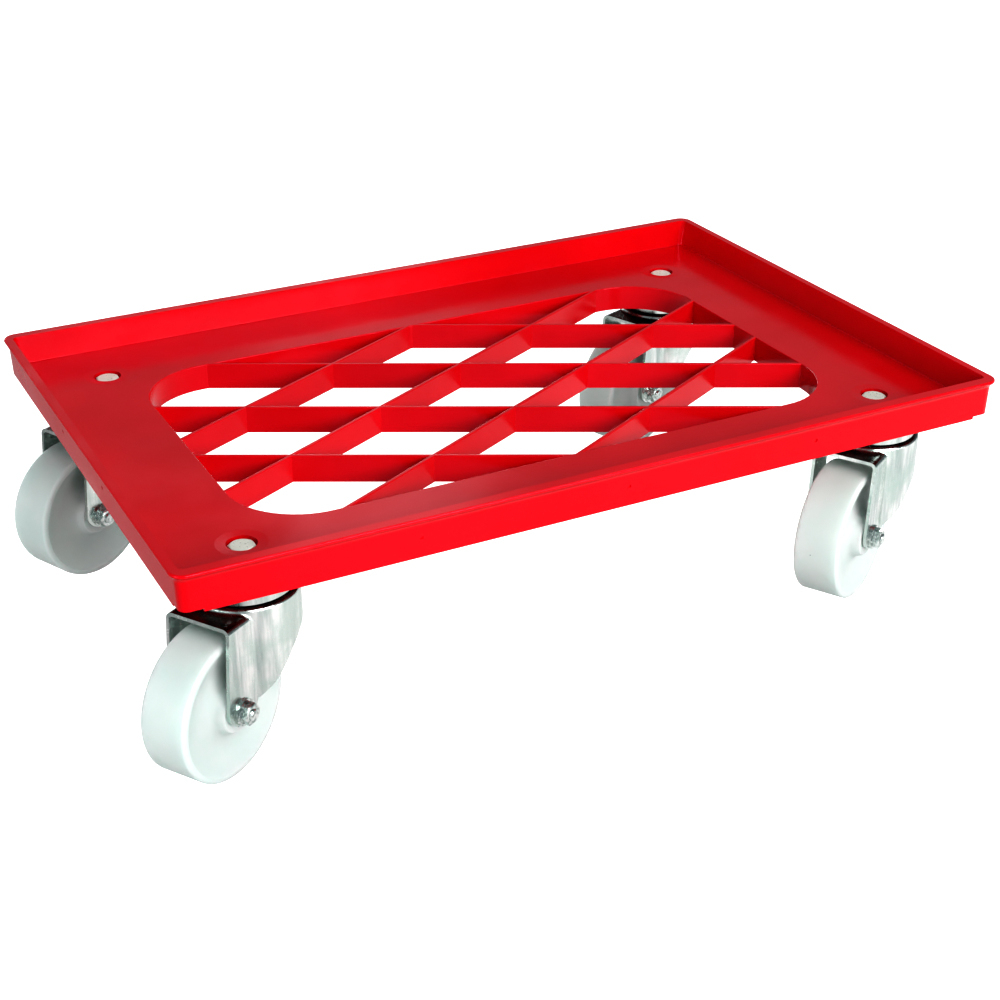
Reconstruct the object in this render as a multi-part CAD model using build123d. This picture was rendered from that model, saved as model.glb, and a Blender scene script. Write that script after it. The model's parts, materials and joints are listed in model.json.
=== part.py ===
from build123d import *
import math
import os

# Low dolly for 600 x 400 mm boxes: a moulded deck on four swivel castors.
# Millimetres, +Z up. The origin is on the floor, under the middle of the deck.
# X runs along the long side and Y along the short side.
# Each sub-part is one STEP file in parts/, named after its node.

# ---- deck ---------------------------------------------------------------
rim_length, rim_width, rim_top = 620.0, 420.0, 167.0
rim_corner = 10.0
rim_round = 1.2                      # upper edge of the rim, inside and outside of the lip
lip_height, lip_overhang = 5.0, 3.1  # the lip slopes back to the skirt at 45 degrees
lip_edge_round, lip_blend = 1.0, 4.0 # upper end of the slope, and the hollow at its lower end
skirt_bottom = 138.2
skirt_draft = 1.8                    # degrees, the skirt narrows downwards
skirt_wall = 4.0
skirt_inner_corner = 3.0
seat_length, seat_width = 602.0, 401.0  # at the seat plate
seat_top_length, seat_top_width = 607.0, 403.0  # at the rim, the walls open upwards
seat_corner, seat_round = 4.0, 0.8
seat_top = 145.0
plate = 3.5
rib_bottom = 125.0                   # lattice, collar and bosses end here
notch_length, notch_rise = 18.5, 2.0 # raised bit of the skirt's lower edge at the -Y corners

# ---- window and lattice ---------------------------------------------------
window_length, window_width, window_corner = 465.0, 267.4, 54.0
collar_wall = 3.0
lattice_angle = 27.5                 # degrees to X, both ways
lattice_pitch = 80.4                 # square across the ribs
lattice_wall = 3.0
lattice_rows = 4                     # ribs in each of the two families
brim_round = 0.8                     # softened upper edges of lattice and window

# ---- underside ------------------------------------------------------------
gusset_wall = 2.6
gussets_long, gussets_short = 3, 1   # on each side of the middle one
web_foot = 0.6                       # how far the webs stay above the skirt's lower edge
belt_wall, belt_bottom = 2.6, 131.0  # rib halfway between collar and skirt
boss_radius = 19.0
boss_ring_radius, boss_ring_wall = 33.0, 3.0
boss_spokes = 8
boss_web_reach = 92.0                # webs from the castor seat inwards to the next gusset

# ---- small marks ------------------------------------------------------------
pin_radius, pin_depth, pin_height = 1.3, 0.8, 152.5
pins_along_x = (-150.0, 0.0, 150.0)
pins_along_y = (-48.5, 48.5)
dish_radius, dish_depth = 17.0, 0.4  # soft dish around each bolt head

# ---- king bolts ---------------------------------------------------------------
bolt_x, bolt_y = 247.0, 148.0
bolt_radius = 5.0
bolt_hole_radius = 5.5
head_across, head_height, head_seat = 16.0, 6.4, 137.2
recess_radius = 10.1
bolt_end = 92.0
king_nut_across, king_nut_height = 16.0, 8.4
king_washer_radius, king_washer_height = 10.5, 2.0
washer_play = 0.2
hexagon_turning = 0.09               # turned-off height of nuts and heads, share of the width

# ---- castor head ----------------------------------------------------------------
head_top = rib_bottom                # fixed ring's top face, under the boss
cup_radius, cup_top, cup_round = 35.5, 117.0, 3.0
sheet = 2.5
head_sheet = 3.0
ring_radius, ring_plate, ring_lip_bottom = 32.5, 3.0, 118.0
ring_lip_wall, ring_chamfer = 1.8, 1.0
race_inset, race_slope = 5.0, 1.5    # where the ring's thick part begins, inside the balls
groove_fit = 0.05                    # play of the balls in the fixed races
race_chamfer = 1.0
ball_radius, ball_play = 2.5, 0.25
upper_row_radius, upper_row_z, upper_balls = 22.0, 118.7, 22
lower_row_radius, lower_row_z, lower_balls = 17.5, 112.3, 17
lower_race_radius, lower_race_top, lower_race_bottom = 21.5, 111.0, 106.5
kingpin_radius, kingpin_bore = 8.1, 5.2
kingpin_flange, flange_height = 11.5, 1.5
fork_hole_radius = 12.0

# ---- fork -----------------------------------------------------------------------
trail = 40.0                         # swivel axis to wheel axis
leg_outside = 24.6                   # half the width over both legs
bonnet_top = 113.0                   # plate over the wheel
bend = 5.0                           # outside radius where the plate turns into the legs
crease = 3.0                         # hollow where the straight part runs into the cup
front_top = 48.3                     # front edge of the legs, it leans forward to the tip
tip_front, tip_rear, tip_radius, tip_bottom = 54.0, 25.5, 12.0, 42.0
rear_edge = [(-40.0, 97.0), (-25.0, 93.5), (-10.0, 88.0), (1.0, 79.0), (8.5, 69.5), (16.0, 60.5),
             (24.8, 52.3)]

# ---- wheel ------------------------------------------------------------------------
wheel_radius, wheel_width = 50.0, 35.0
shoulder = 2.5                       # round between tread and side
dish_edge = 46.0                     # the flat ring of the side ends here
dish_points = [(38.0, 13.2), (29.0, 10.8), (22.0, 12.2)]
hub_foot = (17.0, 16.8)              # the dish runs into the hub here
hub_radius, hub_half, hub_chamfer = 15.5, 20.8, 0.6
tube_radius, tube_bore = 6.0, 4.1
running_gap = 0.05

# ---- axle -------------------------------------------------------------------------
axle_radius = 4.0
axle_head_across, axle_head_height = 13.0, 5.3
axle_nut_across, axle_nut_height = 13.0, 5.5
axle_washer_radius, axle_washer_height = 9.0, 1.6
axle_end = 33.0
shank_chamfer = 0.8                  # at the free end of king bolts and axle bolts
thrust_radius, thrust_height = 10.0, 1.1

# castor name: side of X, side of Y, direction in which the wheel trails (degrees from +X)
castors = {
    "near_left": (-1, -1, 212.6),
    "near_right": (1, -1, 210.2),
    "far_right": (1, 1, 201.0),
    "far_left": (-1, 1, 205.7),
}

leg_inside = leg_outside - sheet


def block(length, width, corner, bottom, top, taper=0.0):
    """An upright slab with rounded corners; a positive taper narrows it towards its top."""
    outline = Plane.XY.offset(bottom) * RectangleRounded(length, width, corner)
    return extrude(outline, top - bottom, taper=taper)


def ring(outer, inner, bottom, top):
    """A plain round ring about Z."""
    height = top - bottom
    middle = Pos(0, 0, bottom + height / 2)
    return middle * (Cylinder(outer, height) - Cylinder(inner, height + 1))


def hexagon(across, bottom, top):
    """A hexagonal prism about Z with its upper corners turned off."""
    flat = Plane.XY.offset(bottom) * RegularPolygon(across / 2, 6, major_radius=False)
    prism = extrude(flat, top - bottom)
    run = hexagon_turning * across       # height of the turned-off part
    straight = top - run - bottom
    lower = Pos(0, 0, bottom + straight / 2) * Cylinder(across, straight)
    cone = Pos(0, 0, top - run / 2) * Cone(across / 2 + 1.5 * run, across / 2 - 0.5 * run, run)
    return prism & (lower + cone)


def groove(row_radius, row_z, play):
    """The torus that a row of balls sweeps, grown by its play."""
    return Pos(0, 0, row_z) * Torus(row_radius, ball_radius + play)


def ball_row(row_radius, row_z, count):
    """A row of separate balls."""
    return [Pos(*spot.position) * Sphere(ball_radius)
            for spot in Plane.XY.offset(row_z) * PolarLocations(row_radius, count)]


# ---- deck moulding -------------------------------------------------------------------

def foot_size():
    """Length and width of the skirt at its lower edge."""
    inset = (rim_top - lip_height - skirt_bottom) * math.tan(math.radians(skirt_draft))
    return rim_length - 2 * (lip_overhang + inset), rim_width - 2 * (lip_overhang + inset)


def deck_shell():
    """Rim, lip, skirt and seat plate."""
    lip_bottom = rim_top - lip_height
    foot_length, foot_width = foot_size()
    foot_corner = rim_corner - (rim_length - foot_length) / 2
    skirt = block(foot_length, foot_width, foot_corner, skirt_bottom, lip_bottom, -skirt_draft)
    lip = block(rim_length, rim_width, rim_corner, lip_bottom, rim_top)
    lip = chamfer(lip.faces().sort_by(Axis.Z)[0].edges(), lip_overhang)
    lip = fillet(lip.faces().sort_by(Axis.Z)[-1].edges(), rim_round)
    shell = skirt + lip
    for slope_end, radius in ((lip_bottom, lip_blend), (lip_bottom + lip_overhang, lip_edge_round)):
        loop = [edge for edge in shell.edges() if abs(edge.center().Z - slope_end) < 0.1]
        shell = fillet(loop, radius)
    seat_foot = Plane.XY.offset(seat_top) * RectangleRounded(seat_length, seat_width, seat_corner)
    seat_mouth = Plane.XY.offset(rim_top) * RectangleRounded(seat_top_length, seat_top_width, seat_corner)
    seat = loft([seat_foot, seat_mouth], ruled=True)
    seat = fillet(seat.faces().sort_by(Axis.Z)[0].edges(), seat_round)
    shell = shell - seat
    below = block(foot_length - 2 * skirt_wall, foot_width - 2 * skirt_wall, skirt_inner_corner,
                  skirt_bottom - 1, seat_top - plate)
    return shell - below


def lattice():
    """Both families of slanting ribs, long enough to reach the collar everywhere."""
    ribs = []
    height = seat_top - rib_bottom
    for side in (1, -1):
        for row in range(lattice_rows):
            shift = (row - (lattice_rows - 1) / 2) * lattice_pitch
            rib = Pos(0, shift, rib_bottom + height / 2) * Box(700, lattice_wall, height)
            ribs.append(Rot(0, 0, side * lattice_angle) * rib)
    reach = block(window_length + collar_wall, window_width + collar_wall,
                  window_corner + collar_wall / 2, rib_bottom, seat_top)
    return (ribs[0] + ribs[1:]) & reach


def tapered_web(start, end):
    """A web along +X, deep where it starts and shallow at the skirt."""
    web_top = seat_top - plate + 1
    profile = Plane.XZ * Polygon((start, rib_bottom), (end, skirt_bottom + web_foot),
                                 (end, web_top), (start, web_top), align=None)
    return extrude(profile, gusset_wall / 2, both=True)


def gussets():
    """Tapered webs from the collar out to the skirt, on all four sides."""
    foot_length, foot_width = foot_size()
    webs = []
    sides = [(window_length, foot_length, bolt_y, gussets_short, 0),
             (window_width, foot_width, bolt_x, gussets_long, 90)]
    for opening, foot, bolt, count, turn in sides:
        web = tapered_web(opening / 2 + 1, foot / 2 - skirt_wall / 2)
        step = (bolt - boss_web_reach) / count
        for place in range(-count, count + 1):
            for half_turn in (0, 180):
                webs.append(Rot(0, 0, turn + half_turn) * Pos(0, place * step, 0) * web)
    return webs


def corner_webs():
    """Webs of the castor seat at +X +Y: five out to the skirt, three inwards."""
    foot_length, foot_width = foot_size()
    start = boss_ring_radius - boss_ring_wall / 2
    out_x = foot_length / 2 - skirt_wall / 2 - bolt_x
    out_y = foot_width / 2 - skirt_wall / 2 - bolt_y
    slant = math.sqrt(2)
    outwards = [(0, out_x), (90, out_y), (45, slant * min(out_x, out_y)),
                (135, slant * out_y), (-45, slant * out_x)]
    webs = [Rot(0, 0, angle) * tapered_web(start, reach) for angle, reach in outwards]
    height = seat_top - plate + 1 - belt_bottom
    to_collar = slant * (bolt_x - window_length / 2 + window_corner) - window_corner
    inwards = [(180, boss_web_reach), (270, boss_web_reach), (225, to_collar)]
    for angle, reach in inwards:
        bar = Pos((start + reach) / 2, 0, belt_bottom + height / 2) * Box(reach - start, gusset_wall, height)
        webs.append(Rot(0, 0, angle) * bar)
    return Pos(bolt_x, bolt_y, 0) * (webs[0] + webs[1:])


def boss():
    """The castor seat: a thick hub with a ring around it and spokes between."""
    height = seat_top - plate + 1 - rib_bottom
    middle = rib_bottom + height / 2
    body = Pos(0, 0, middle) * Cylinder(boss_radius, height)
    body = body + ring(boss_ring_radius, boss_ring_radius - boss_ring_wall, rib_bottom, rib_bottom + height)
    spoke_length = boss_ring_radius - boss_radius
    for spoke in range(boss_spokes):
        bar = Pos(boss_radius - 1 + spoke_length / 2, 0, middle) * Box(spoke_length, gusset_wall, height)
        body = body + Rot(0, 0, spoke * 360 / boss_spokes) * bar
    return body


def deck_moulding():
    """The whole deck: shell, window with its lattice, webs, castor seats and small marks."""
    foot_length, foot_width = foot_size()
    plate_bottom = seat_top - plate
    collar = block(window_length + 2 * collar_wall, window_width + 2 * collar_wall,
                   window_corner + collar_wall, rib_bottom, seat_top)
    opening = block(window_length, window_width, window_corner, rib_bottom - 1, seat_top + 1)
    belt_length = (window_length + foot_length) / 2
    belt_width = (window_width + foot_width) / 2
    belt = block(belt_length, belt_width, window_corner, belt_bottom, plate_bottom + 1)
    belt = belt - block(belt_length - 2 * belt_wall, belt_width - 2 * belt_wall,
                        window_corner - belt_wall, belt_bottom - 1, plate_bottom + 2)
    seats = GridLocations(2 * bolt_x, 2 * bolt_y, 2, 2)
    clear = [seat * Pos(0, 0, belt_bottom) * Cylinder(boss_ring_radius - boss_ring_wall, 2 * plate_bottom)
             for seat in seats]
    webs = (belt + gussets()) - clear
    one_corner = corner_webs()
    one_end = one_corner + mirror(one_corner, Plane.XZ)
    body = deck_shell() + collar + webs
    body = body + one_end + mirror(one_end, Plane.YZ)
    body = body + [seat * boss() for seat in seats]
    body = body - opening
    body = body + lattice()
    brims = [edge for edge in body.edges().filter_by_position(Axis.Z, seat_top - 0.01, seat_top + 0.01)
             if abs(edge.center().X) < window_length / 2 + 0.01
             and abs(edge.center().Y) < window_width / 2 + 0.01]
    body = fillet(brims, brim_round)
    # bolt recesses and holes
    recess_depth = seat_top - head_seat
    for seat in seats:
        body = body - seat * Pos(0, 0, head_seat + recess_depth) * Cylinder(recess_radius, 2 * recess_depth)
        body = body - seat * Pos(0, 0, head_seat) * Cylinder(bolt_hole_radius, 4 * recess_depth)
        dish = Cone(recess_radius, dish_radius, dish_depth)
        body = body - seat * Pos(0, 0, seat_top - dish_depth / 2) * dish
    # ejector pin marks in the skirts
    pin_x = foot_length / 2 + (pin_height - skirt_bottom) * math.tan(math.radians(skirt_draft))
    pin_y = pin_x - (foot_length - foot_width) / 2
    pin_mark = Cylinder(pin_radius, 2 * pin_depth)
    for side in (1, -1):
        for x in pins_along_x:
            body = body - Pos(x, side * pin_y, pin_height) * Rot(90, 0, 0) * pin_mark
        for y in pins_along_y:
            body = body - Pos(side * pin_x, y, pin_height) * Rot(0, 90, 0) * pin_mark
    # the lower edge steps up at the two corners on the -Y side
    notch = Box(2 * notch_length, 2 * notch_length, 2 * notch_rise)
    for side in (1, -1):
        body = body - Pos(side * rim_length / 2, -rim_width / 2, skirt_bottom) * notch
    return body


# ---- castor parts, about the swivel axis, trailing along +X -----------------------------

def king_bolt():
    """Bolt down through the deck, its castor seat and the whole castor head."""
    shank_height = head_seat - bolt_end
    shank = Pos(0, 0, bolt_end + shank_height / 2) * Cylinder(bolt_radius, shank_height)
    shank = chamfer(shank.edges().sort_by(Axis.Z)[0], shank_chamfer)
    return shank + hexagon(head_across, head_seat, head_seat + head_height)


def king_washer():
    """Washer between the kingpin's flange and the king nut."""
    top = lower_race_bottom - flange_height
    return ring(king_washer_radius, bolt_radius + washer_play, top - king_washer_height, top)


def king_nut():
    """Nut under the kingpin, its turned-off corners pointing down."""
    top = lower_race_bottom - flange_height - king_washer_height
    nut = Pos(0, 0, top) * Rot(180, 0, 0) * hexagon(king_nut_across, 0, king_nut_height)
    return nut - Pos(0, 0, top - king_nut_height / 2) * Cylinder(bolt_radius, king_nut_height + 1)


def head_ring():
    """Fixed upper race with its dust lip, turned from one profile."""
    lip_inside = ring_radius - ring_lip_wall
    roof = upper_row_z + race_slope
    profile = Plane.XZ * Polygon(
        (kingpin_radius, head_top), (ring_radius - ring_chamfer, head_top),
        (ring_radius, head_top - ring_chamfer),
        (ring_radius, ring_lip_bottom), (lip_inside, ring_lip_bottom), (lip_inside, roof),
        (upper_row_radius - race_inset, roof),
        (upper_row_radius - race_inset - race_slope, head_top - ring_plate),
        (kingpin_radius, head_top - ring_plate), align=None)
    return revolve(profile, Axis.Z) - groove(upper_row_radius, upper_row_z, groove_fit)


def lower_race():
    """Fixed ring under the lower balls."""
    body = ring(lower_race_radius, kingpin_radius, lower_race_bottom, lower_race_top)
    body = chamfer(body.edges().filter_by(GeomType.CIRCLE).sort_by(SortBy.RADIUS)[-1], race_chamfer)
    return body - groove(lower_row_radius, lower_row_z, groove_fit)


def kingpin():
    """Hollow rivet through both races, spread over the lower race."""
    body = ring(kingpin_radius, kingpin_bore, lower_race_bottom - flange_height, head_top)
    return body + ring(kingpin_flange, kingpin_bore, lower_race_bottom - flange_height, lower_race_bottom)


def fork_envelope(cup, cup_z, half_width, plate_z, bend_radius, crease_radius):
    """Round cup about the swivel axis, run into a straight box over the wheel."""
    depth = cup_top                      # deeper than the legs, the side view cuts it
    length = 2 * trail
    round_part = Pos(0, 0, cup_z - depth / 2) * Cylinder(cup, depth)
    round_part = fillet(round_part.edges().sort_by(Axis.Z)[-1], cup_round)
    straight = Pos(length / 2, 0, plate_z - depth / 2) * Box(length, 2 * half_width, depth)
    straight = fillet(straight.edges().filter_by(Axis.X).sort_by(Axis.Z)[-2:], bend_radius)
    envelope = round_part + straight
    creases = [edge for edge in envelope.edges()
               if cup / 2 < edge.center().X < cup + 1 and 0 < edge.center().Z < plate_z + 0.1]
    return fillet(creases, crease_radius)


def fork():
    """Pressed fork: round cup over the balls, bonnet over the wheel and two legs."""
    outside = fork_envelope(cup_radius, cup_top, leg_outside, bonnet_top, bend, crease)
    inside = fork_envelope(cup_radius - sheet, cup_top - head_sheet, leg_inside, bonnet_top - sheet,
                           bend - sheet, crease + sheet)
    shell = outside - inside
    # side view of the pressing: leaning front edge, round tip, sweeping rear edge
    tip_z = tip_bottom + tip_radius
    side = make_face(Polyline((front_top, cup_top + 1), (front_top, bonnet_top), (tip_front, tip_z),
                              (tip_rear + tip_radius, tip_z), *reversed(rear_edge),
                              (rear_edge[0][0], cup_top + 1), close=True))
    tip = Pos((tip_front + tip_rear) / 2, tip_z) * SlotOverall(tip_front - tip_rear, 2 * tip_radius)
    body = shell & extrude(Plane.XZ * (side + tip), leg_outside + cup_radius, both=True)
    body = body - Pos(0, 0, cup_top) * Cylinder(fork_hole_radius, 4 * head_sheet)
    body = body - groove(upper_row_radius, upper_row_z, ball_play)
    body = body - groove(lower_row_radius, lower_row_z, ball_play)
    return body - Pos(trail, 0, wheel_radius) * Rot(90, 0, 0) * Cylinder(tube_bore, 4 * leg_outside)


def wheel():
    """Flat tread, narrow flat ring, dished side and hub, turned about the wheel's own axis."""
    half = wheel_width / 2
    bore = tube_radius + running_gap
    ring_start = (wheel_radius - shoulder, half)
    ring_end = (dish_edge, half)
    dish = Spline(ring_end, *dish_points, hub_foot, tangents=[(-0.8, -0.6), (-0.35, 0.94)])
    outline = (Line((wheel_radius, 0), (wheel_radius, half - shoulder))
               + CenterArc((wheel_radius - shoulder, half - shoulder), shoulder, 0, 90)
               + Line(ring_start, ring_end) + dish
               + Polyline(hub_foot, (hub_radius, hub_half - hub_chamfer),
                          (hub_radius - hub_chamfer, hub_half), (bore, hub_half),
                          (bore, 0), (wheel_radius, 0)))
    one_side = revolve(make_face(outline), Axis.Y)
    return one_side + mirror(one_side, Plane.XZ)


def axle_tube():
    """Tube between the fork's legs on which the wheel turns."""
    length = 2 * leg_inside
    return Rot(90, 0, 0) * (Cylinder(tube_radius, length) - Cylinder(tube_bore, length + 1))


def along_axle(part):
    """Turn a part made about +Z so that +Z points along the axle's +Y."""
    return Rot(-90, 0, 0) * part


def axle_bolt():
    """Axle bolt with its head on the castor's right-hand side."""
    head_face = -leg_outside - axle_washer_height
    shank = Pos(0, 0, (axle_end + head_face) / 2) * Cylinder(axle_radius, axle_end - head_face)
    shank = chamfer(shank.edges().sort_by(Axis.Z)[-1], shank_chamfer)
    head = Pos(0, 0, head_face) * Rot(180, 0, 0) * hexagon(axle_head_across, 0, axle_head_height)
    return along_axle(shank + head)


def axle_washers():
    """Washers under the axle bolt's head and under its nut."""
    return [along_axle(ring(axle_washer_radius, axle_radius + washer_play, leg_outside,
                            leg_outside + axle_washer_height)),
            along_axle(ring(axle_washer_radius, axle_radius + washer_play,
                            -leg_outside - axle_washer_height, -leg_outside))]


def axle_nut():
    """Nut at the free end of the axle bolt."""
    start = leg_outside + axle_washer_height
    nut = hexagon(axle_nut_across, start, start + axle_nut_height)
    return along_axle(nut - Pos(0, 0, start) * Cylinder(axle_radius, 3 * axle_nut_height))


def thrust_washers():
    """Loose rings between the wheel's hub and the fork's legs."""
    one = ring(thrust_radius, tube_radius + washer_play, leg_inside - thrust_height, leg_inside)
    return [along_axle(one), along_axle(mirror(one, Plane.XY))]


def solid_list(part):
    """A list of shapes as it is, a single shape as a list of one."""
    return list(part) if isinstance(part, list) else [part]


def save(name, parts):
    """Write one node; a node of several pieces is a group of separate solids."""
    solids = [solid for part in solid_list(parts) for solid in part.solids()]
    shape = solids[0] if len(solids) == 1 else Compound(solids)
    export_step(shape, os.path.join("parts", name + ".step"))


def main():
    """Build every node in place and write it to its own file."""
    os.makedirs("parts", exist_ok=True)
    save("deck_moulding", deck_moulding())
    about_swivel = {
        "king_bolt": king_bolt(),
        "king_nut": king_nut(),
        "head_ring": head_ring(),
        "upper_balls": ball_row(upper_row_radius, upper_row_z, upper_balls),
        "lower_balls": ball_row(lower_row_radius, lower_row_z, lower_balls),
        "lower_race": lower_race(),
        "kingpin": kingpin(),
        "fork": fork(),
    }
    about_axle = {
        "wheel": wheel(),
        "axle_tube": axle_tube(),
        "axle_bolt": axle_bolt(),
        "axle_washers": axle_washers(),
        "axle_nut": axle_nut(),
        "thrust_washers": thrust_washers(),
    }
    washer = king_washer()
    washers = []
    for name, (side_x, side_y, heading) in castors.items():
        place = Pos(side_x * bolt_x, side_y * bolt_y, 0) * Rot(0, 0, heading)
        washers.append(place * washer)
        for part_name, part in about_swivel.items():
            save(name + "_" + part_name, [place * piece for piece in solid_list(part)])
        for part_name, part in about_axle.items():
            hung = place * Pos(trail, 0, wheel_radius)
            save(name + "_" + part_name, [hung * piece for piece in solid_list(part)])
    save("king_washers", washers)


main()
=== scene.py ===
"""Looks of the box dolly: materials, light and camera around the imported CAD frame."""
import json
import math

import bpy
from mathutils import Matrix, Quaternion, Vector

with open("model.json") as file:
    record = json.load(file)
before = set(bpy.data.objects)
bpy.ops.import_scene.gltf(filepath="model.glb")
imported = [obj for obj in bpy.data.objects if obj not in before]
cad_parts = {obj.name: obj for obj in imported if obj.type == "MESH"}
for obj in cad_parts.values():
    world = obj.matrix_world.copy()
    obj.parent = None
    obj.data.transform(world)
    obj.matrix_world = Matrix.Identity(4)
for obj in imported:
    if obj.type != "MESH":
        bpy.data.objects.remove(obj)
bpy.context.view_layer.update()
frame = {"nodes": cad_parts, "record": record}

# ---- camera: metres, millimetres of lens and sensor, degrees ---------------------------------
CAMERA_PLACE = (-0.543, -1.071, 0.671)
CAMERA_FORWARD = (0.40804, 0.78805, -0.46096)
CAMERA_LENS = 62.83
CAMERA_SENSOR = 36.0
CAMERA_ROLL = -0.10

# ---- studio: metres and watts ----------------------------------------------------------------
LIGHT_TARGET = (0.0, 0.0, 0.1)
AREA_LIGHTS = (            # name, place, width, height, power
    ("front_softbox", (0.35, -2.85, 1.5), 2.2, 1.4, 93.0),
    ("back_panel", (0.88, 2.26, 1.59), 0.5, 0.9, 1.0),
    ("back_fill", (0.2, 2.8, 0.35), 2.4, 0.4, 26.0),
    ("left_fill", (-2.6, -1.0, 0.22), 1.4, 0.3, 27.0),
    ("top_right", (1.0, 0.4, 2.2), 1.2, 1.2, 6.0),
    ("front_strip", (1.25, -2.3, 0.3), 1.8, 0.14, 6.0),
)
AMBIENT = (0.84, 0.96, 1.0, 1.0)
AMBIENT_STRENGTH = 0.29
WHITE = (1.0, 1.0, 1.0, 1.0)

FLOOR_HALF = 6.0
FLOOR_GREY = (0.36, 0.36, 0.36, 1.0)
# painted reflection: the floor's glow as only reflections see it, from its dark side at -X to its
# bright side at +X
GLOW_DARK, GLOW_BRIGHT = 0.02, 0.52
GLOW_START, GLOW_END = -0.42, -0.12

# ---- colours, linear -------------------------------------------------------------------------
RED_DEEP, RED_BRIGHT = (0.56, 0.0010, 0.0060), (0.65, 0.0020, 0.0090)
NYLON_DULL, NYLON_MILKY = (0.53, 0.59, 0.57), (0.58, 0.62, 0.60)
NYLON_SPECK = (0.20, 0.26, 0.25)
ZINC_DULL, ZINC_BRIGHT = (0.46, 0.52, 0.50), (0.94, 0.94, 0.92)
ZINC_GREEN = (0.53, 0.64, 0.59)
ZINC_PAINTED_REFLECTION = (0.035, 0.045, 0.045)
BOLT_DULL, BOLT_CREAM = (0.72, 0.71, 0.62), (0.80, 0.79, 0.71)
AXLE_DULL, AXLE_BRIGHT = (0.40, 0.46, 0.44), (0.80, 0.83, 0.81)
BALL_DULL, BALL_BRIGHT = (0.42, 0.42, 0.41), (0.62, 0.61, 0.58)
WASHER_DULL, WASHER_WHITE = (0.62, 0.66, 0.63), (0.74, 0.77, 0.74)

AXLE_ENDINGS = ("_axle_bolt", "_axle_nut", "_axle_washers")   # shinier than the bolts in the deck

# the Mix node has one set of sockets per data type; these are the colour ones
MIX_COLOUR_INPUTS = (6, 7)
MIX_COLOUR_OUTPUT = 2


# ---- node helpers ----------------------------------------------------------------------------

class Surface:
    """One principled material and short calls that add nodes to it."""

    def __init__(self, name):
        self.material = bpy.data.materials.new(name)
        self.material.use_nodes = True
        self.nodes = self.material.node_tree.nodes
        self.links = self.material.node_tree.links
        self.shader = self.nodes["Principled BSDF"]
        self.place = self.nodes.new("ShaderNodeTexCoord").outputs["Object"]

    def set(self, **values):
        """Fixed values on the shader's own sockets; an underscore stands for a space."""
        for key, value in values.items():
            self.shader.inputs[key.replace("_", " ")].default_value = value

    def join(self, output, socket):
        """Drive one of the shader's sockets."""
        self.links.new(output, self.shader.inputs[socket])

    def stretched(self, x, y, z):
        """Coordinates with a scale of their own along each axis."""
        mapping = self.nodes.new("ShaderNodeMapping")
        mapping.inputs["Scale"].default_value = (x, y, z)
        self.links.new(self.place, mapping.inputs["Vector"])
        return mapping.outputs["Vector"]

    def noise(self, scale, detail=2.0, roughness=0.5, place=None):
        """Noise; scale is in cycles per metre."""
        node = self.nodes.new("ShaderNodeTexNoise")
        node.inputs["Scale"].default_value = scale
        node.inputs["Detail"].default_value = detail
        node.inputs["Roughness"].default_value = roughness
        self.links.new(place or self.place, node.inputs["Vector"])
        return node.outputs["Fac"]

    def cells(self, scale):
        """Distance to the nearest of scattered points."""
        node = self.nodes.new("ShaderNodeTexVoronoi")
        node.inputs["Scale"].default_value = scale
        self.links.new(self.place, node.inputs["Vector"])
        return node.outputs["Distance"]

    def spread(self, value, low, high, to_low=0.0, to_high=1.0):
        """Map low..high to to_low..to_high, held at both ends."""
        node = self.nodes.new("ShaderNodeMapRange")
        node.inputs["From Min"].default_value = low
        node.inputs["From Max"].default_value = high
        node.inputs["To Min"].default_value = to_low
        node.inputs["To Max"].default_value = to_high
        self.links.new(value, node.inputs["Value"])
        return node.outputs["Result"]

    def combine(self, operation, first, second):
        """Arithmetic on two outputs."""
        node = self.nodes.new("ShaderNodeMath")
        node.operation = operation
        self.links.new(first, node.inputs[0])
        self.links.new(second, node.inputs[1])
        return node.outputs["Value"]

    def facing_up(self):
        """1 on a level upper face, 0 on an upright one and -1 underneath."""
        parts = self.nodes.new("ShaderNodeSeparateXYZ")
        geometry = self.nodes.new("ShaderNodeNewGeometry")
        self.links.new(geometry.outputs["Normal"], parts.inputs["Vector"])
        return parts.outputs["Z"]

    def blend(self, share, first, second):
        """A colour between first and second; each is a colour or an output."""
        node = self.nodes.new("ShaderNodeMix")
        node.data_type = "RGBA"
        self.links.new(share, node.inputs["Factor"])
        for socket, colour in zip(MIX_COLOUR_INPUTS, (first, second)):
            if isinstance(colour, tuple):
                node.inputs[socket].default_value = (*colour, 1.0)
            else:
                self.links.new(colour, node.inputs[socket])
        return node.outputs[MIX_COLOUR_OUTPUT]

    def bump(self, height, distance, strength=1.0, under=None):
        """Relief; distance is the height in metres that a value of 1 stands for."""
        node = self.nodes.new("ShaderNodeBump")
        node.inputs["Strength"].default_value = strength
        node.inputs["Distance"].default_value = distance
        self.links.new(height, node.inputs["Height"])
        if under is not None:
            self.links.new(under, node.inputs["Normal"])
        return node.outputs["Normal"]

    def mottle(self, pattern, first, second, low=0.35, high=0.65):
        """Base colour that drifts from first to second with the pattern."""
        self.join(self.blend(self.spread(pattern, low, high), first, second), "Base Color")

    def vary_gloss(self, pattern, smooth, rough):
        """Roughness that drifts from smooth to rough with the pattern."""
        self.join(self.spread(pattern, 0.3, 0.7, smooth, rough), "Roughness")


# ---- materials -------------------------------------------------------------------------------

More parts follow.
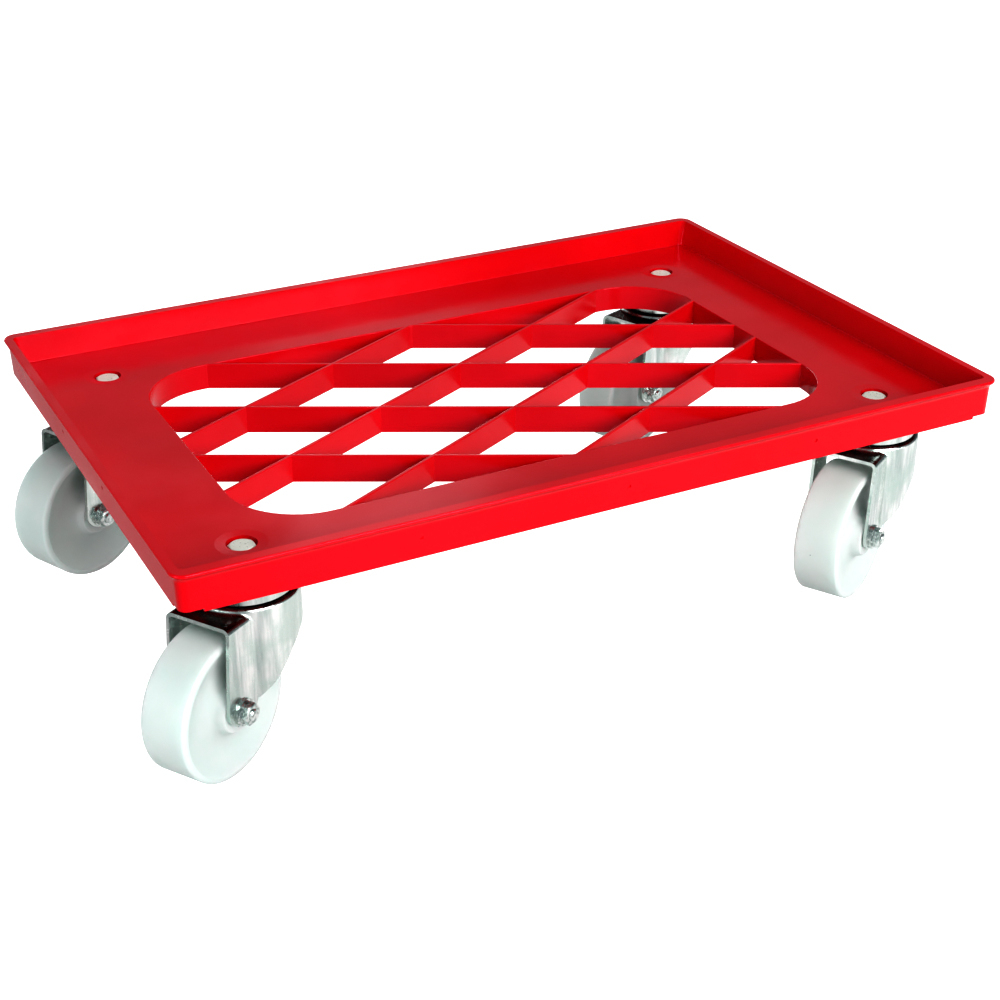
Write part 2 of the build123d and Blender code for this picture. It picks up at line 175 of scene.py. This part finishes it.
def red_plastic():
    """Glossy moulded plastic: faint sink waves, cloudy gloss and a fine grain."""
    surface = Surface("red_plastic")
    surface.set(IOR=1.46, Specular_Tint=(1.0, 0.30, 0.45, 1.0))
    surface.mottle(surface.noise(9.0, 3.0), RED_DEEP, RED_BRIGHT)
    surface.vary_gloss(surface.noise(24.0, 3.0), 0.13, 0.24)
    waves = surface.bump(surface.noise(11.0, 0.0), 0.0010)
    surface.join(surface.bump(surface.noise(1400.0, 2.0), 0.000008, 0.5, waves), "Normal")
    return surface.material


def nylon():
    """Natural polyamide: milky, slightly green, with small dark specks."""
    surface = Surface("nylon")
    surface.set(IOR=1.45, Specular_IOR_Level=0.22, Subsurface_Weight=0.85,
                Subsurface_Radius=(0.011, 0.014, 0.013), Subsurface_Scale=1.5)
    milk = surface.noise(25.0, 3.0)
    body = surface.blend(surface.spread(milk, 0.35, 0.65), NYLON_DULL, NYLON_MILKY)
    dots = surface.spread(surface.cells(95.0), 0.035, 0.055, 1.0, 0.0)
    rare = surface.spread(surface.noise(45.0, 1.0), 0.60, 0.62)
    speck = surface.combine("MULTIPLY", dots, rare)
    surface.join(surface.blend(speck, body, NYLON_SPECK), "Base Color")
    surface.vary_gloss(surface.noise(70.0, 4.0, 0.6), 0.46, 0.62)
    ripple = surface.bump(surface.noise(90.0, 2.0), 0.00012)
    surface.join(surface.bump(surface.noise(1500.0, 2.0), 0.00001, 0.5, ripple), "Normal")
    return surface.material


def zinc():
    """Bright zinc on pressed sheet: drawing streaks, a green tinge and a painted dark reflection on
    upper faces.

    The painted reflection is dark base colour standing in for the dark underside these faces mirror,
    so it stays dark under any light.
    """
    surface = Surface("zinc")
    surface.set(Metallic=1.0)
    streaks = surface.noise(120.0, 3.0, 0.6, surface.stretched(1.0, 1.0, 0.12))
    clouds = surface.noise(38.0, 3.0, 0.55)
    bright = surface.blend(surface.spread(streaks, 0.35, 0.65), ZINC_DULL, ZINC_BRIGHT)
    tinged = surface.blend(surface.spread(clouds, 0.42, 0.62, 0.0, 0.75), bright, ZINC_GREEN)
    # painted dark reflection: faces that look up go dark in their base colour, a little patchy
    upward = surface.spread(surface.facing_up(), 0.25, 0.85)
    patches = surface.spread(surface.noise(55.0, 2.0), 0.36, 0.60, 1.0, 0.80)
    patchy_mask = surface.combine("MULTIPLY", upward, patches)
    surface.join(surface.blend(patchy_mask, tinged, ZINC_PAINTED_REFLECTION), "Base Color")
    surface.vary_gloss(surface.noise(300.0, 4.0, 0.65), 0.14, 0.30)
    drawn = surface.bump(surface.noise(80.0, 2.0, 0.5, surface.stretched(1.0, 1.0, 0.2)), 0.0003)
    surface.join(surface.bump(surface.noise(1200.0, 2.0), 0.00001, 0.5, drawn), "Normal")
    return surface.material


def bolt_zinc():
    """Zinc on forged bolts and nuts: creamier and rougher."""
    surface = Surface("bolt_zinc")
    surface.set(Metallic=0.20)
    surface.mottle(surface.noise(260.0, 3.0), BOLT_DULL, BOLT_CREAM)
    surface.vary_gloss(surface.noise(500.0, 3.0), 0.24, 0.42)
    surface.join(surface.bump(surface.noise(900.0, 3.0), 0.00003, 0.6), "Normal")
    return surface.material


def axle_steel():
    """Bright plated axle bolts and nuts: shiny, with dark reflections."""
    surface = Surface("axle_steel")
    surface.set(Metallic=1.0)
    surface.mottle(surface.noise(420.0, 3.0), AXLE_DULL, AXLE_BRIGHT, 0.38, 0.62)
    surface.vary_gloss(surface.noise(700.0, 3.0), 0.10, 0.24)
    surface.join(surface.bump(surface.noise(500.0, 3.0), 0.00025, 0.8), "Normal")
    return surface.material


def ball_steel():
    """Bearing balls with a film of grease."""
    surface = Surface("ball_steel")
    surface.set(Metallic=1.0)
    patchy_mask = surface.noise(600.0, 2.0)
    surface.mottle(patchy_mask, BALL_DULL, BALL_BRIGHT, 0.4, 0.6)
    surface.vary_gloss(patchy_mask, 0.08, 0.25)
    return surface.material


def washer_nylon():
    """White plastic washers beside the hub."""
    surface = Surface("washer_nylon")
    surface.set(IOR=1.53, Subsurface_Weight=0.2, Subsurface_Radius=(0.002, 0.002, 0.002))
    milk = surface.noise(180.0, 2.0)
    surface.mottle(milk, WASHER_DULL, WASHER_WHITE)
    surface.vary_gloss(milk, 0.35, 0.5)
    return surface.material


def floor_finish():
    """Pale matt floor: plain white to the camera, and a painted reflection: a glow graded along X that
    only reflections see.
    """
    surface = Surface("floor_finish")
    surface.set(Base_Color=FLOOR_GREY, Roughness=0.9, Specular_IOR_Level=0.0, Emission_Color=WHITE)
    parts = surface.nodes.new("ShaderNodeSeparateXYZ")
    surface.links.new(surface.place, parts.inputs["Vector"])
    sideways = surface.spread(parts.outputs["X"], GLOW_START, GLOW_END, GLOW_DARK, GLOW_BRIGHT)
    path = surface.nodes.new("ShaderNodeLightPath")
    # painted reflection: the floor glows only for glossy rays, darker at -X and brighter towards +X
    painted_reflection_glow = surface.combine("MULTIPLY", path.outputs["Is Glossy Ray"], sideways)
    surface.join(surface.combine("ADD", path.outputs["Is Camera Ray"], painted_reflection_glow), "Emission Strength")
    return surface.material


# ---- the object ------------------------------------------------------------------------------

def dress(finishes):
    """Give every CAD node the finish of its record slot; axle hardware has one of its own."""
    for subpart in frame["record"]["subparts"]:
        node, slot = subpart["node"], subpart["material_slot"]
        if node.endswith(AXLE_ENDINGS):
            slot = "axle_steel"
        materials = frame["nodes"][node].data.materials
        materials.clear()
        materials.append(finishes[slot])


# ---- floor, light and camera -----------------------------------------------------------------

def make_floor():
    """A level square under the wheels."""
    mesh = bpy.data.meshes.new("floor")
    signs = ((-1, -1), (1, -1), (1, 1), (-1, 1))
    corners = [(x * FLOOR_HALF, y * FLOOR_HALF, 0) for x, y in signs]
    mesh.from_pydata(corners, [], [(0, 1, 2, 3)])
    mesh.materials.append(floor_finish())
    floor = bpy.data.objects.new("floor", mesh)
    bpy.context.scene.collection.objects.link(floor)


def area_light(name, place, width, height, power):
    """A rectangular light that points at the object."""
    light = bpy.data.lights.new(name, "AREA")
    light.shape = "RECTANGLE"
    light.size, light.size_y = width, height
    light.energy = power
    lamp = bpy.data.objects.new(name, light)
    bpy.context.scene.collection.objects.link(lamp)
    lamp.location = place
    lamp.rotation_euler = (Vector(LIGHT_TARGET) - Vector(place)).to_track_quat("-Z", "Y").to_euler()


def make_light():
    """Soft ambient light, a white background for the camera only, and the area lights."""
    world = bpy.data.worlds.new("studio")
    bpy.context.scene.world = world
    world.use_nodes = True
    nodes, links = world.node_tree.nodes, world.node_tree.links
    ambient = nodes["Background"]
    ambient.inputs["Color"].default_value = AMBIENT
    ambient.inputs["Strength"].default_value = AMBIENT_STRENGTH
    backdrop = nodes.new("ShaderNodeBackground")
    backdrop.inputs["Color"].default_value = WHITE
    choice = nodes.new("ShaderNodeMixShader")
    links.new(nodes.new("ShaderNodeLightPath").outputs["Is Camera Ray"], choice.inputs["Fac"])
    links.new(ambient.outputs["Background"], choice.inputs[1])
    links.new(backdrop.outputs["Background"], choice.inputs[2])
    links.new(choice.outputs["Shader"], nodes["World Output"].inputs["Surface"])
    for name, place, width, height, power in AREA_LIGHTS:
        area_light(name, place, width, height, power)


def make_camera():
    """The camera looks along CAMERA_FORWARD, rolled a little about its own axis."""
    camera = bpy.data.cameras.new("camera")
    camera.lens = CAMERA_LENS
    camera.sensor_width = CAMERA_SENSOR
    holder = bpy.data.objects.new("camera", camera)
    bpy.context.scene.collection.objects.link(holder)
    holder.location = CAMERA_PLACE
    level = Vector(CAMERA_FORWARD).to_track_quat("-Z", "Y")
    holder.rotation_euler = (level @ Quaternion((0.0, 0.0, 1.0), math.radians(CAMERA_ROLL))).to_euler()
    bpy.context.scene.camera = holder


dress({
    "deck_plastic": red_plastic(),
    "zinc": zinc(),
    "bolt_zinc": bolt_zinc(),
    "axle_steel": axle_steel(),
    "ball_steel": ball_steel(),
    "nylon": nylon(),
    "washer_nylon": washer_nylon(),
})
make_floor()
make_light()
make_camera()
bpy.context.scene.view_settings.view_transform = "Standard"
bpy.context.scene.view_settings.look = "High Contrast"
